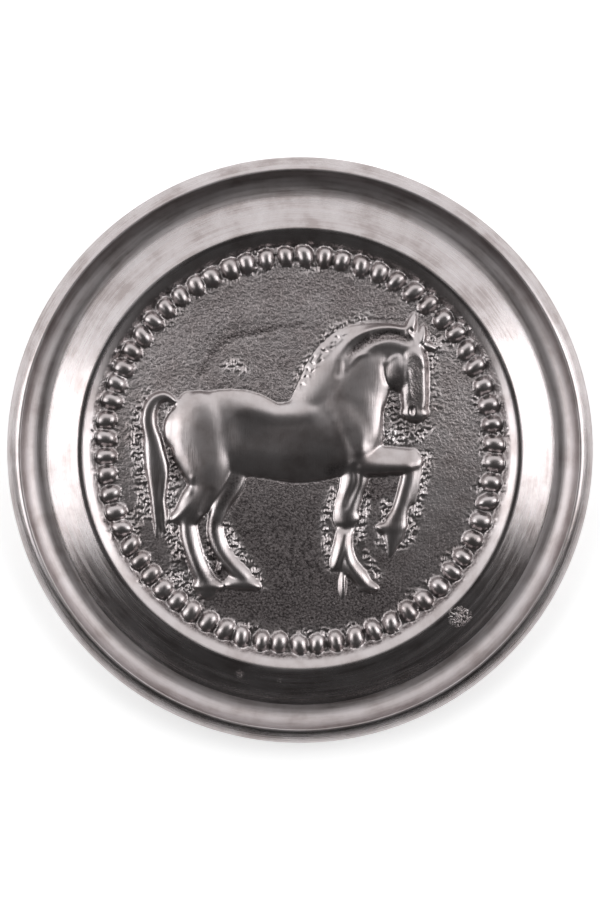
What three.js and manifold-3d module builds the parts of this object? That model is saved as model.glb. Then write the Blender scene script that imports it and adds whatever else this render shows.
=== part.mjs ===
// A cast phalera: a round metal plaque with a dished rim, a ring of beads and a horse in relief.
// It is one casting. Millimetres, +Z up: it lies on its flat back, with the origin at the centre
// of the back face, and the horse's back is towards +Y.
import * as THREE from "three";
import { mergeVertices } from "three/addons/utils/BufferGeometryUtils.js";
import Module from "manifold-3d";

const wasm = await Module();
wasm.setup();

// Driving sizes of the disc
const DISC_RADIUS = 35;
const RIM_HEIGHT = 4.6; // the rim's edge above the back face
const BACK_ROUND = 0.6; // round between the back face and the side
const BEVEL_WIDTH = 1.5; // bevel outside the rim's edge, seen from above
const BEVEL_DROP = 1.6;
const EDGE_LAND = 0.12; // narrow flat along the rim's edge
const WALL_WIDTH = 2.3; // from the rim's edge in to the bottom of the cove
const WALL_ANGLE = 74; // how far the cove's outer wall curves up, in degrees
const COVE_DEPTH = 2.15; // the bottom of the cove below the rim's edge
const COVE_ROUND = 3; // round between the bottom of the cove and the slope
const SLOPE_WIDTH = 4.85; // from the bottom of the cove in to the top of the inner lip
const SLOPE_ANGLE = 23; // how steep the slope up to the lip is, in degrees
const LIP_ROUND = 1.1;
const LIP_TURN = 40; // how far the lip turns over towards its foot, in degrees
const LIP_WIDTH = 1.6; // from the top of the lip in to its foot
const FIELD_DROP = 1.35; // the rough field below the top of the lip

// Driving sizes of the beads
const BEAD_LENGTH = 2.55; // towards the centre
const BEAD_WIDTH = 1.8; // along the ring
const BEAD_HEIGHT = 0.95; // above the field
const BEAD_PITCH = 2.28; // along the ring, centre to centre
const BEAD_GAP = 0.1; // between the beads and the lip
const BEAD_START = 2; // angle of the first bead, in degrees
const BEAD_DRIFT = 2.3; // the beads stand closer on the left: how far they drift, in degrees

// Driving sizes of the horse
const RELIEF_HEIGHT = 1.75; // the haunch above the field
const FIGURE_CLEARANCE = 0.4; // between the tip of the ear and the beads
const SINK = 0.6; // how deep the horse and the beads run into the plate

// Fineness of the facets
const DISC_SIDES = 80;
const BEAD_SIDES = 8;
const LIMB_SIDES = 12;

// Radii and heights that follow from the driving sizes
const wallAngle = THREE.MathUtils.degToRad(WALL_ANGLE);
const slopeAngle = THREE.MathUtils.degToRad(SLOPE_ANGLE);
const edgeRadius = DISC_RADIUS - BEVEL_WIDTH;
const coveRadius = edgeRadius - EDGE_LAND - WALL_WIDTH;
const coveHeight = RIM_HEIGHT - COVE_DEPTH;
const lipRadius = coveRadius - SLOPE_WIDTH;
const roundsWidth = (COVE_ROUND + LIP_ROUND) * Math.sin(slopeAngle);
const roundsRise = (COVE_ROUND + LIP_ROUND) * (1 - Math.cos(slopeAngle));
const lipHeight = coveHeight + roundsRise + (SLOPE_WIDTH - roundsWidth) * Math.tan(slopeAngle);
const lipFootRadius = lipRadius - LIP_WIDTH;
const fieldHeight = lipHeight - FIELD_DROP;
const beadRadius = lipFootRadius - BEAD_GAP - BEAD_LENGTH / 2;
const fieldRadius = beadRadius - BEAD_LENGTH / 2;

// The horse is drawn in hundredths of its own length, measured from the back of its tail and from
// the line of its hooves. FIGURE_CENTRE is the point over the disc's centre.
const FIGURE_CENTRE = [53.7, 48];

// Each limb is a list of stations along its middle line. A station is [across, up, half width,
// height above the field], the last as a share of RELIEF_HEIGHT. A limb's ends are rounded.
const HORSE = {
  trunk: [
    [9.4, 55, 8.6, 0.62],
    [17, 55, 12, 0.78],
    [26, 55, 13.8, 0.8],
    [34, 54, 14.6, 0.82],
    [43, 51.4, 13.2, 0.86],
    [52, 50.8, 14, 0.94],
    [61, 52.4, 15, 0.96],
    [70, 53.4, 13.4, 0.9],
    [80.4, 53, 7.6, 0.74],
  ],
  haunch: [
    [17.6, 67, 6, 0.7],
    [19.6, 60, 10.6, 1],
    [20.6, 52, 11.6, 1],
    [21.6, 44, 9.4, 0.92],
    [22.2, 37, 6.2, 0.72],
    [19.4, 30, 4.6, 0.56],
    [15.4, 21.6, 3.2, 0.44],
  ],
  shoulder: [
    [64.6, 67, 6, 0.7],
    [68.6, 60, 9.4, 0.94],
    [72, 53, 8.4, 1],
    [75.6, 44.4, 5, 0.9],
  ],
  neck: [
    [61.4, 54.6, 14, 0.72],
    [69.4, 64.6, 13.6, 0.86],
    [75, 74, 10.8, 0.84],
    [80.4, 83.4, 7.6, 0.76],
  ],
  poll: [
    [72, 80.4, 7.4, 0.7],
    [81, 83.8, 7.2, 0.76],
    [92.6, 83.6, 6, 0.66],
  ],
  mane: [
    [50.6, 64.8, 1.4, 0.2],
    [56.6, 71.4, 3.6, 0.48],
    [61.6, 78.4, 4.6, 0.56],
    [68.6, 84.8, 4.6, 0.58],
    [78, 87.8, 3.8, 0.56],
    [90.6, 88, 2.6, 0.46],
  ],
  withersLock: [
    [66, 71.4, 1.4, 0.9],
    [67, 76, 2.4, 0.92],
    [70.6, 80, 2, 0.86],
  ],
  head: [
    [92.4, 85.6, 4, 0.62],
    [92.1, 78, 4.8, 0.8],
    [92.2, 70.4, 4.7, 0.78],
    [92.4, 63.6, 4.8, 0.72],
    [92.5, 56.6, 4.9, 0.66],
  ],
  cheek: [
    [86, 80.4, 4.8, 0.74],
    [86.9, 75.4, 5.2, 0.9],
    [88.2, 69.6, 4.2, 0.7],
  ],
  nearEar: [
    [90.2, 86.6, 2, 0.52],
    [91.4, 90.8, 1.7, 0.46],
    [92.8, 95, 0.7, 0.28],
  ],
  farEar: [
    [93.8, 83.4, 2, 0.52],
    [94.8, 87.4, 1.6, 0.44],
    [95.6, 90.8, 0.7, 0.26],
  ],
  forelock: [
    [93.4, 83.8, 1.8, 0.42],
    [97, 83.4, 1.4, 0.32],
    [100.2, 81.9, 0.8, 0.2],
  ],
  tail: [
    [12.6, 63.4, 1.5, 0.5],
    [8.2, 66.2, 1.9, 0.52],
    [4, 64, 2.4, 0.56],
    [2.4, 58, 2.6, 0.58],
    [4.4, 50, 3, 0.54],
    [5.5, 41, 3.9, 0.52],
    [5.7, 32, 3, 0.46],
    [5.4, 25, 1.9, 0.38],
    [5.2, 18, 1, 0.26],
  ],
  tailTip: [
    [6, 33, 2.4, 0.44],
    [7.2, 27, 1.8, 0.38],
    [8, 19.4, 0.9, 0.26],
  ],
  nearHock: [
    [19, 33.4, 2.6, 0.5],
    [14.2, 28, 2.4, 0.5],
    [9.6, 23.6, 1.7, 0.38],
  ],
  nearHindCannon: [
    [15.2, 26, 3.4, 0.48],
    [15.8, 19, 2.5, 0.42],
    [17, 13.4, 2.6, 0.42],
    [19.2, 8, 3, 0.46],
    [21.6, 4, 3.2, 0.46],
    [23.8, 0.4, 3.4, 0.4],
  ],
  nearHindHoof: [
    [18.2, 1.8, 1.8, 0.34],
    [22.6, 1.8, 2, 0.44],
    [27.4, 1.2, 1.3, 0.34],
  ],
  farThigh: [
    [33, 43.6, 5, 0.66],
    [30.6, 36, 3.9, 0.54],
    [27, 29, 3.2, 0.46],
    [24.4, 21, 3.2, 0.42],
  ],
  farHindCannon: [
    [24.8, 27, 2.8, 0.44],
    [25.2, 20, 2.9, 0.42],
    [27, 14.4, 2.6, 0.42],
    [30.4, 9.6, 2.7, 0.44],
    [34.6, 5.2, 2.9, 0.46],
    [39.2, 1, 2.4, 0.38],
  ],
  farHindHoof: [
    [28.4, 2.2, 1.8, 0.3],
    [34, 2.2, 2.1, 0.44],
    [41.2, 1.3, 1.1, 0.34],
  ],
  foreThigh: [
    [71.8, 48, 5, 0.8],
    [71.2, 40, 4.6, 0.6],
    [69.4, 33.4, 3.9, 0.5],
    [67.8, 26.4, 4.3, 0.5],
    [69, 19, 3.2, 0.4],
  ],
  foreCannon: [
    [69.4, 26.4, 3.8, 0.48],
    [68.8, 20, 3, 0.42],
    [67.4, 14, 3.4, 0.44],
    [68, 8.8, 3.9, 0.46],
    [72, 4.8, 3.6, 0.46],
    [78, 0.2, 2.6, 0.38],
  ],
  foreHeel: [
    [67.9, -2, 1, 0.24],
    [67.2, 3, 1.5, 0.36],
    [69.6, 7.4, 2, 0.42],
  ],
  raisedForearm: [
    [70.6, 46.6, 6.6, 0.92],
    [78, 44.6, 5.6, 0.76],
    [86, 44.2, 4.7, 0.64],
    [95, 43.8, 4, 0.56],
  ],
  raisedCannon: [
    [91, 47.6, 3.6, 0.56],
    [91.2, 40, 3.5, 0.5],
    [89.6, 32.6, 3.2, 0.44],
    [87.8, 26, 3, 0.42],
    [86, 20, 3.5, 0.44],
    [84.4, 11, 1.5, 0.3],
  ],
  raisedHeel: [
    [79.4, 22.8, 1, 0.28],
    [82.6, 21.4, 1.8, 0.38],
    [87, 22, 2.4, 0.44],
  ],
};

// Its real size follows from the ring of beads, which its farthest point nearly reaches.
const figureReach = Math.max(
  ...Object.values(HORSE)
    .flat()
    .map(([x, y]) => Math.hypot(x - FIGURE_CENTRE[0], y - FIGURE_CENTRE[1])),
);
const unit = (fieldRadius - FIGURE_CLEARANCE) / figureReach;

const RIB_COUNTS = { trunk: 16, haunch: 12, tail: 13 };
const DEFAULT_RIBS = 9;
const END_ROUNDNESS = 3.5; // 2 is an oval end, and more is blunter
const SIDE_FULLNESS = 0.75; // 1 is an oval section, and less has steeper sides and a flatter top

// A closed mesh as a manifold-3d solid: equal corners are merged and collapsed faces dropped.
function toSolid(geometry) {
  const bare = geometry.clone();
  bare.deleteAttribute("normal");
  bare.deleteAttribute("uv");
  const merged = mergeVertices(bare, 1e-4);
  const corners = merged.index.array;
  const kept = [];
  for (let i = 0; i < corners.length; i += 3) {
    const [a, b, c] = corners.slice(i, i + 3);
    if (a !== b && b !== c && c !== a) kept.push(a, b, c);
  }
  return new wasm.Manifold(
    new wasm.Mesh({
      numProp: 3,
      vertProperties: merged.attributes.position.array,
      triVerts: new Uint32Array(kept),
    }),
  );
}

function toGeometry(solid) {
  const mesh = solid.getMesh();
  const geometry = new THREE.BufferGeometry();
  geometry.setAttribute("position", new THREE.BufferAttribute(mesh.vertProperties, 3));
  geometry.setIndex(new THREE.BufferAttribute(mesh.triVerts, 1));
  return geometry;
}

// Points on an arc in the profile's plane, from one angle to another, in degrees.
function arc(radius, height, radiusAcross, radiusUp, from, to, steps) {
  return Array.from({ length: steps + 1 }, (_, i) => {
    const angle = THREE.MathUtils.degToRad(from + ((to - from) * i) / steps);
    return new THREE.Vector2(
      radius + radiusAcross * Math.cos(angle),
      height + radiusUp * Math.sin(angle),
    );
  });
}

// The turned disc: bevelled rim, cove, slope, inner lip and flat field.
function disc() {
  const wallAcross = WALL_WIDTH / Math.sin(wallAngle);
  const wallUp = COVE_DEPTH / (1 - Math.cos(wallAngle));
  const wallCentre = [coveRadius, coveHeight + wallUp];
  const coveCentre = [coveRadius, coveHeight + COVE_ROUND];
  const lipCentre = [lipRadius, lipHeight - LIP_ROUND];
  const profile = [
    new THREE.Vector2(0, 0),
    ...arc(DISC_RADIUS - BACK_ROUND, BACK_ROUND, BACK_ROUND, BACK_ROUND, -90, 0, 2),
    new THREE.Vector2(DISC_RADIUS, RIM_HEIGHT - BEVEL_DROP),
    new THREE.Vector2(edgeRadius, RIM_HEIGHT),
    ...arc(...wallCentre, wallAcross, wallUp, WALL_ANGLE - 90, -90, 5),
    ...arc(...coveCentre, COVE_ROUND, COVE_ROUND, -90, -90 - SLOPE_ANGLE, 2).slice(1),
    ...arc(...lipCentre, LIP_ROUND, LIP_ROUND, 90 - SLOPE_ANGLE, 90, 2),
    ...arc(...lipCentre, LIP_ROUND, LIP_ROUND, 90, 90 + LIP_TURN, 2).slice(1),
    new THREE.Vector2(lipFootRadius, fieldHeight),
    new THREE.Vector2(0, fieldHeight),
  ];
  return toSolid(new THREE.LatheGeometry(profile, DISC_SIDES).rotateX(Math.PI / 2));
}

// One bead: an egg on the field that runs into the plate by SINK at most.
function bead(angle) {
  const geometry = new THREE.SphereGeometry(1, BEAD_SIDES, 5).rotateX(Math.PI / 2);
  const position = geometry.attributes.position;
  for (let i = 0; i < position.count; i++) {
    const height = position.getZ(i);
    position.setZ(i, height * (height > 0 ? BEAD_HEIGHT : SINK));
  }
  geometry.scale(BEAD_LENGTH / 2, BEAD_WIDTH / 2, 1);
  return geometry.translate(beadRadius, 0, fieldHeight).rotateZ(angle);
}

function beads() {
  const count = Math.round((2 * Math.PI * beadRadius) / BEAD_PITCH);
  return Array.from({ length: count }, (_, i) => {
    const even = (2 * Math.PI * i) / count;
    const angle = THREE.MathUtils.degToRad(BEAD_START + BEAD_DRIFT * Math.sin(even)) + even;
    return toSolid(bead(angle));
  });
}

// A limb: a sphere drawn out along the middle line of its stations, its poles at the two ends.
function limb(stations, ribs) {
  const place = ([x, y]) =>
    new THREE.Vector3((x - FIGURE_CENTRE[0]) * unit, (y - FIGURE_CENTRE[1]) * unit, 0);
  const girth = ([, , width, height]) => new THREE.Vector3(width * unit, height * RELIEF_HEIGHT, 0);
  const path = new THREE.CatmullRomCurve3(stations.map(place));
  const girths = new THREE.CatmullRomCurve3(stations.map(girth));
  const geometry = new THREE.SphereGeometry(1, LIMB_SIDES, ribs);
  const position = geometry.attributes.position;
  for (let i = 0; i < position.count; i++) {
    const latitude = THREE.MathUtils.clamp(position.getY(i), -1, 1);
    const around = Math.atan2(position.getZ(i), position.getX(i));
    const along = (1 + latitude) / 2;
    const end = (1 - Math.abs(latitude) ** END_ROUNDNESS) ** (1 / END_ROUNDNESS);
    const middle = path.getPoint(along);
    const ahead = path.getTangent(along);
    const { x: width, y: height } = girths.getPoint(along);
    const across = width * end * Math.cos(around);
    const lift = Math.sin(around);
    const rise = lift > 0 ? height * end * lift ** SIDE_FULLNESS : SINK * end * lift;
    position.setXYZ(
      i,
      middle.x + ahead.y * across,
      middle.y - ahead.x * across,
      fieldHeight + rise,
    );
  }
  return toSolid(geometry);
}

function horse() {
  return Object.entries(HORSE).map(([name, stations]) =>
    limb(stations, RIB_COUNTS[name] ?? DEFAULT_RIBS),
  );
}

const casting = wasm.Manifold.union([disc(), ...beads(), ...horse()]);
const metal = new THREE.MeshStandardMaterial({ color: 0x8d8786, roughness: 0.32, metalness: 1 });
const phalera = new THREE.Mesh(toGeometry(casting), metal);
phalera.name = "phalera";

const group = new THREE.Group();
group.add(phalera);

export default group;
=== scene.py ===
# A cast phalera with a horse in relief, lying on its back on a pale table, seen straight from above.
# Sizes are millimetres until the mesh is made. The horse's back is towards +Y and it faces +X.
import math

import bpy
import numpy as np
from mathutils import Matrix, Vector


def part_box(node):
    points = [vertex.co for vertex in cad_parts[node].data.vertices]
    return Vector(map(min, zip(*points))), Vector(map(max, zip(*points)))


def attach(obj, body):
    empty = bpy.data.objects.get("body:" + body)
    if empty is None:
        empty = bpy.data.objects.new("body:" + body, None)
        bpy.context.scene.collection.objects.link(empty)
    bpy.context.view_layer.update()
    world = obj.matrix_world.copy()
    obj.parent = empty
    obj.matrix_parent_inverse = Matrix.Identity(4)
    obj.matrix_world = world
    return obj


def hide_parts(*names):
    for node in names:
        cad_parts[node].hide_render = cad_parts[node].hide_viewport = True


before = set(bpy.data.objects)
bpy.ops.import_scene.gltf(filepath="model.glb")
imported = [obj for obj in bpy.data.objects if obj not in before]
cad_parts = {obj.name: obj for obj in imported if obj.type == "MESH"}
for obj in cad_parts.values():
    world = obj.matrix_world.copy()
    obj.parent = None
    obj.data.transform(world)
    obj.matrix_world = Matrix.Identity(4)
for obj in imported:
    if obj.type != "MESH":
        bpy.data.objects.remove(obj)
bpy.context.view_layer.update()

MM = 0.001

# The disc, from the rim inwards
LOW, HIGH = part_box("phalera")
DISC_RADIUS = (HIGH.x - LOW.x) / 2 / MM
RIM_HEIGHT = HIGH.z / MM
BACK_ROUND = 0.6
BEVEL_WIDTH = 1.5
BEVEL_DROP = 1.6
BEVEL_START = math.radians(32)
BEVEL_CURVE = 0.24
BEVEL_EDGE = 0.06  # where the bevel meets the side, below its drop
CREST_ROUND = 0.3
CREST_INSET = 0.13
CREST_TURN = (2.3, 1.0)  # the angles between which the crest is round
EDGE_LAND = 0.12
WALL_WIDTH = 2.3
WALL_ANGLE = math.radians(74)
COVE_DEPTH = 2.15
COVE_ROUND = 3
SLOPE_WIDTH = 4.85
SLOPE_ANGLE = math.radians(23)
LIP_ROUND = 1.1
LIP_WIDTH = 1.6
LIP_LEAN = 0.75
LIP_CROWN = 0.55
LIP_BLEND = 0.2
FOOT_STEEPNESS = 2
FIELD_DROP = 1.35
FIELD_DOME = 0.32

# The beads. Each is hand-made: its sizes are within these shares, and it turns and strays a little.
BEAD_LENGTH = 2.55
BEAD_WIDTH = 1.8
BEAD_HEIGHT = 0.95
BEAD_COUNT = 64
BEAD_GAP = 0.1
BEAD_START = math.radians(2)
BEAD_DRIFT = math.radians(2.3)
BEAD_JITTER = 0.004
BEAD_LENGTHS = (0.96, 1.08)
BEAD_WIDTHS = (1.02, 1.2)
BEAD_HEIGHTS = (0.9, 1.06)
BEAD_TURN = 0.1
BEAD_STRAY = 0.06
BEAD_END_POWER = 2.5
BEAD_SIDE_POWER = 2.1
BEAD_FULLNESS = 0.62
BEAD_FALL = 1.2
BEAD_REACH = 0.09  # the angle to each side of a bead that it can fill
BEAD_BLEND = 0.1
BEAD_SEED = 5

# The horse
RELIEF_HEIGHT = 1.75
RIM_CLEARANCE = 0.03  # between the horse's top and the level of the rim's crest
CAP_BLEND = 0.1
FIGURE_CLEARANCE = 0.4
END_ROUNDNESS = 3.5
EDGE_FALL = 2.2
LIMB_BLEND = 0.2
WEAR = 2
GROUND_BLEND = 0.12
PIT_DEPTH = 0.4

# How a limb's sides round off: the lower the power, the steeper its sides and the flatter its top
LIMB_FULLNESS = 0.4
SIDE_FULLNESS = {
    "trunk": 0.5, "haunch": 0.46, "buttock": 0.5, "shoulder": 0.6, "chest": 0.26,
    "neck": 0.64, "poll": 0.6, "nape": 0.6, "mane": 0.8, "withers_lock": 0.6,
    "head": 0.34, "cheek": 0.7, "jaw": 0.8, "muzzle": 0.4, "face_ledge": 1,
    "near_ear": 0.25, "far_ear": 0.25, "forelock": 0.3,
    "tail": 0.2, "tail_tip": 0.3, "tail_width": 0.3,
    "near_hock": 0.7, "near_hind_cannon": 0.7, "near_hind_hoof": 0.7, "near_sole": 0.5,
    "far_thigh": 0.3, "far_hind_cannon": 0.7, "far_hind_hoof": 0.7, "far_sole": 0.5,
    "fore_thigh": 0.6, "knee": 0.5, "fore_cannon": 0.7, "feather": 0.3, "fetlock": 0.2,
    "fore_heel": 0.6, "forearm_ledge": 1,
}

# How much higher a limb stands towards +X and towards +Y, as shares of its height
LEAN = {
    "near_hock": (0.4, 0), "near_hind_cannon": (-0.26, 0), "near_sole": (0, -0.5),
    "far_thigh": (-0.1, 0), "far_hind_cannon": (-0.26, 0), "far_sole": (0, -0.5),
    "fore_thigh": (0.24, 0), "fore_cannon": (-0.24, 0), "feather": (0.5, 0),
    "fore_heel": (0.8, 0), "fore_sole": (0.3, -0.4),
    "raised_forearm": (0, -0.46), "raised_cannon": (-0.1, 0),
    "mane": (0.1, -0.1), "nape": (0.24, -0.3), "forelock": (0, -0.4),
    "near_ear": (0, -0.4), "far_ear": (0.2, -0.3), "tail": (-0.04, 0),
}

# The ground. Each layer of noise has a height, a size and a seed.
FIELD_EDGE = 0.6  # the ground fades out over this width at the lip's foot
GRAIN = ((1, 0.33, 11), (0.5, 0.7, 12))
GRAIN_HEIGHT = 0.012
GRAIN_MORE_ABOVE = 0.054
GRAIN_MORE_BESIDE = 0.014
CRUMBS = ((1, 0.36, 13), (0.5, 0.8, 16), (0.5, 0.19, 24))
CRUMB_HEIGHT = 0.34
CRUMB_PATCHES = ((1, 1.6, 17),)
SWELL = ((0.05, 5, 14), (0.03, 2.2, 15))
FRINGE_WIDTH = 1.8  # how far in from the beads the crumbs stand
FRINGE_PATCHES = ((1, 3.4, 23),)
FRINGE_CRUMBS = 0.8
MANE_PITS = ((1, 0.6, 18),)
FINE_PITS = ((0.3, 0.35, 21),)
MANE_GRAIN = ((1, 0.7, 22),)
MANE_GRAIN_HEIGHT = 0.02
MANE_BAND_SHARE = -2.6  # makes the depth of the mane's carved band a share from 0 to 1
SKIN_WAVES = ((0.005, 0.9, 19),)
BEAD_WAVES = ((0.03, 0.6, 20),)

# How dark the ground's patina is, with painted light above the horse and at the sides and painted shade
# around the beads, and how strongly it is sanded
PATINA = 0.96
# Painted light: the ground's patina is made lighter above the horse and at the sides
PAINTED_LIGHT_ABOVE = 0.26
PAINTED_LIGHT_BESIDE = 0.25
PATINA_LOST_ON_CRUMBS = 0.95
# Painted shade: the ground is darkened around and between the beads
PAINTED_SHADE_BY_BEADS = 0.3
SANDING = 0.28
SANDING_MORE_ABOVE = 0.34
SANDING_LOST_ON_CRUMBS = 0.8
SANDING_ON_FACE = 0.4
SANDING_ON_MANE = 0.2
HORSE_SATIN = 0.8
BEAD_SATIN = 0.25
CRUMB_POLISH = 0.85

# Fineness of the mesh
CELL = 0.145
LATTICE_GAP = 0.1  # between the square cells and the first ring
BEAD_ROWS = 16
BEAD_COLUMNS = 768
LIP_ROWS = 9
RIM_COLUMNS = 256

# Specks that the casting left on the slope: radius, angle and size
BLEMISHES = [
    (27.6, math.radians(-46.5), 1.1), (28.3, math.radians(-45), 0.8),
    (27.8, math.radians(-105), 0.6), (27.8, math.radians(-95), 0.5),
]

# The metal: each tone has its place on its ramp. Scales are per metre and bumps in metres.
METAL_TONES = ((0.28, (0.36, 0.315, 0.31)), (0.5, (0.48, 0.437, 0.437)), (0.75, (0.55, 0.51, 0.515)))
PATINA_TONES = ((0.35, (0.06, 0.05, 0.05)), (0.65, (0.34, 0.3, 0.3)))
CLOUD_SCALE = 300
SAND_SCALE = 3800
BLEMISH_SCALE = 2600
RING_SCALES = (9000, 60)  # across the lathe's rings, and along them
STREAK_SCALES = (2200, 90)
BRUSH_SCALES = (5200, 520)  # across the horse's brushing, and along it
TURNING_START = 0.6  # the turned surface fades in over this width inside the lip's top
STAIN = 0.9
CAST_ROUGHNESS = 0.3
TURNED_GLOSS = 0.07
STREAK_GLOSS = (-0.05, 0.09)
WALL_DULLNESS = 0.2
WALL_START = 0.6  # the dull wall starts this far inside the cove's bottom
SATIN_DULLNESS = 0.14
RING_BUMP = (0.35, 0.00004)
BRUSH_BUMP = (0.3, 0.00005)
SAND_BUMP = 0.00025
BLEMISH_BUMP = (0.4, 0.0003)

# Camera, light and table
CAMERA_LENS = 100
SENSOR = 36
VIEW_HEIGHT = 107.5  # what the picture's height takes in, where the disc is widest
FRONT_TONE = 0.05
DIM_TONE = 1.6 * FRONT_TONE
BACK_TONE = 1.2
OVERHEAD_TONE = 0.04
SIDE_RADIANCE = 2.6
TABLE_HALF = 0.6  # metres
TABLE_TONE = 0.9
TABLE_GLOW = 0.5

# Radii and heights that follow
edge_radius = DISC_RADIUS - BEVEL_WIDTH
cove_radius = edge_radius - EDGE_LAND - WALL_WIDTH
cove_height = RIM_HEIGHT - COVE_DEPTH
lip_radius = cove_radius - SLOPE_WIDTH
rounds_width = (COVE_ROUND + LIP_ROUND) * math.sin(SLOPE_ANGLE)
rounds_rise = (COVE_ROUND + LIP_ROUND) * (1 - math.cos(SLOPE_ANGLE))
lip_height = cove_height + rounds_rise + (SLOPE_WIDTH - rounds_width) * math.tan(SLOPE_ANGLE)
lip_foot_radius = lip_radius - LIP_WIDTH
field_height = lip_height - FIELD_DROP
bead_radius = lip_foot_radius - BEAD_GAP - BEAD_LENGTH / 2
field_radius = bead_radius - BEAD_LENGTH / 2

# The horse is drawn in hundredths of its own length, from the back of its tail and the line of
# its hooves. FIGURE_CENTRE is the point over the disc's centre.
FIGURE_CENTRE = (53.7, 48)

# Each limb is a list of stations along its middle line: across, up, half width, and height over
# the field as a share of RELIEF_HEIGHT.
HORSE = {
    "trunk": [
        (12.8, 54, 9, 0.62), (18, 55, 12, 0.78), (26, 55, 13.8, 0.8), (34, 54, 14.6, 0.82),
        (43, 51.4, 13.2, 0.86), (52, 50.8, 14, 0.94), (61, 52.4, 15, 0.96),
        (70, 53.4, 13.4, 0.9), (79, 53, 7.6, 0.74),
    ],
    "haunch": [
        (18.4, 65.4, 5, 0.68), (20.4, 58.8, 9.8, 0.97), (21, 52, 11, 0.97), (21.8, 44, 9.4, 0.92),
        (22.2, 37, 6.2, 0.72), (19.4, 30, 4.6, 0.56), (15.4, 21.6, 3.2, 0.44),
    ],
    "shoulder": [(64.6, 67, 6, 0.7), (68.6, 60, 9.4, 0.94), (72, 53, 8.4, 1), (75.6, 44.4, 5, 0.9)],
    "neck": [
        (61.4, 54.6, 13, 0.72), (69.4, 64.6, 13.2, 0.86), (75, 74, 10.8, 0.84), (80.4, 83.4, 7.6, 0.76),
    ],
    "poll": [(72, 80.4, 7.4, 0.7), (81, 83.8, 7.2, 0.76), (92.6, 83.6, 6, 0.66)],
    "mane": [
        (50.6, 64.8, 1.4, 0.16), (56.6, 71.4, 3.8, 0.3), (61.6, 78.4, 4.8, 0.34),
        (68.6, 84.8, 4.6, 0.42), (78, 87.8, 3.8, 0.54), (90.6, 88, 2.6, 0.46),
    ],
    "withers_lock": [(66, 71.4, 1.6, 0.6), (67.2, 76, 2.6, 0.6), (70.6, 80, 2.4, 0.6)],
    "head": [
        (92.4, 85.6, 4, 0.62), (92.1, 78, 4.8, 0.8), (92.2, 70.4, 4.7, 0.78),
        (92.4, 65, 4.8, 0.72), (92.5, 59.6, 4.9, 0.64),
    ],
    "cheek": [(86, 80.4, 4.8, 0.58), (86.9, 75.4, 5.2, 0.8), (88.2, 69.6, 4.2, 0.7)],
    "near_ear": [(90.2, 86.6, 2.2, 0.66), (91.4, 90.8, 1.9, 0.42), (92.8, 95, 0.7, 0.12)],
    "far_ear": [(93.8, 83.4, 2.2, 0.6), (94.8, 87.4, 1.8, 0.4), (95.6, 90.8, 0.7, 0.14)],
    "forelock": [(93.4, 83.8, 1.8, 0.42), (97, 83.4, 1.5, 0.3), (100.2, 81.9, 0.8, 0.14)],
    "tail": [
        (12.6, 63.4, 1.5, 0.5), (8.2, 66.2, 1.9, 0.52), (4, 64, 2.4, 0.56), (2.4, 58, 2.6, 0.58),
        (4.4, 50, 3, 0.54), (5.5, 41, 3.9, 0.52), (5.7, 32, 3, 0.46), (5.4, 25, 1.9, 0.38),
        (5.2, 18, 1, 0.26),
    ],
    "tail_tip": [(6, 33, 2.4, 0.44), (7.2, 27, 1.8, 0.38), (8, 19.4, 0.9, 0.26)],
    "near_hock": [(19, 33.4, 2.6, 0.5), (14.4, 28, 2.6, 0.5), (10.4, 24.2, 2.2, 0.38)],
    "near_hind_cannon": [
        (15.6, 26, 3.9, 0.5), (16.4, 19, 3.7, 0.46), (17.8, 13.4, 3.4, 0.46),
        (19.8, 8, 3.5, 0.48), (21.8, 4, 3.5, 0.46), (23.4, 0.4, 3.4, 0.4),
    ],
    "near_hind_hoof": [(21.6, 6, 2, 0.34), (22.2, 3, 3.8, 0.44), (22.6, 0.6, 5, 0.4)],
    "far_thigh": [(33, 43.6, 5, 0.3), (30.6, 36, 3.9, 0.42), (27, 29, 3.2, 0.46), (24.4, 21, 3.2, 0.42)],
    "far_hind_cannon": [
        (24.8, 27, 3.4, 0.44), (25.2, 20, 3.5, 0.42), (27, 14.4, 3.2, 0.42),
        (30.4, 9.6, 3.2, 0.44), (34.6, 5.2, 3.3, 0.46), (39.2, 1, 2.4, 0.38),
    ],
    "far_hind_hoof": [
        (28.6, 1.6, 1.1, 0.26), (31.4, 2.6, 2, 0.36), (35.4, 2.8, 2.6, 0.44), (40.8, 1.3, 1.2, 0.34),
    ],
    "fore_thigh": [
        (72.6, 48, 5.6, 0.5), (72.4, 40, 5.4, 0.58), (70.9, 33.4, 4.7, 0.5),
        (69, 26.4, 4.8, 0.5), (69.6, 19, 3.4, 0.4),
    ],
    "fore_cannon": [
        (69.4, 26.4, 3.8, 0.48), (69.4, 20, 2.6, 0.44), (69.4, 14.6, 2.7, 0.46),
        (70.6, 9.6, 3, 0.48), (74, 5, 3.2, 0.46), (78, 0.4, 2.5, 0.38),
    ],
    "fore_heel": [(68, -2.2, 1.3, 0.16), (67.8, 2, 1.7, 0.26), (68, 6.4, 1.6, 0.24)],
    "raised_forearm": [
        (70.6, 46.6, 6.6, 0.92), (78, 44.6, 5.6, 0.76), (86, 44.4, 4.8, 0.64), (93.6, 44.4, 4.4, 0.56),
    ],
    "raised_cannon": [
        (91, 47.4, 3.6, 0.56), (91, 40, 3.3, 0.5), (89.2, 32.6, 3.1, 0.46),
        (87.4, 27, 3.1, 0.44), (85.6, 20.6, 4.3, 0.44), (84, 11.4, 1.4, 0.3),
    ],
    "raised_heel": [
        (79.4, 22.4, 1.1, 0.3), (82, 21.6, 2, 0.4), (86, 21.8, 3, 0.44), (89.6, 22.4, 1.6, 0.36),
    ],
}

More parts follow.
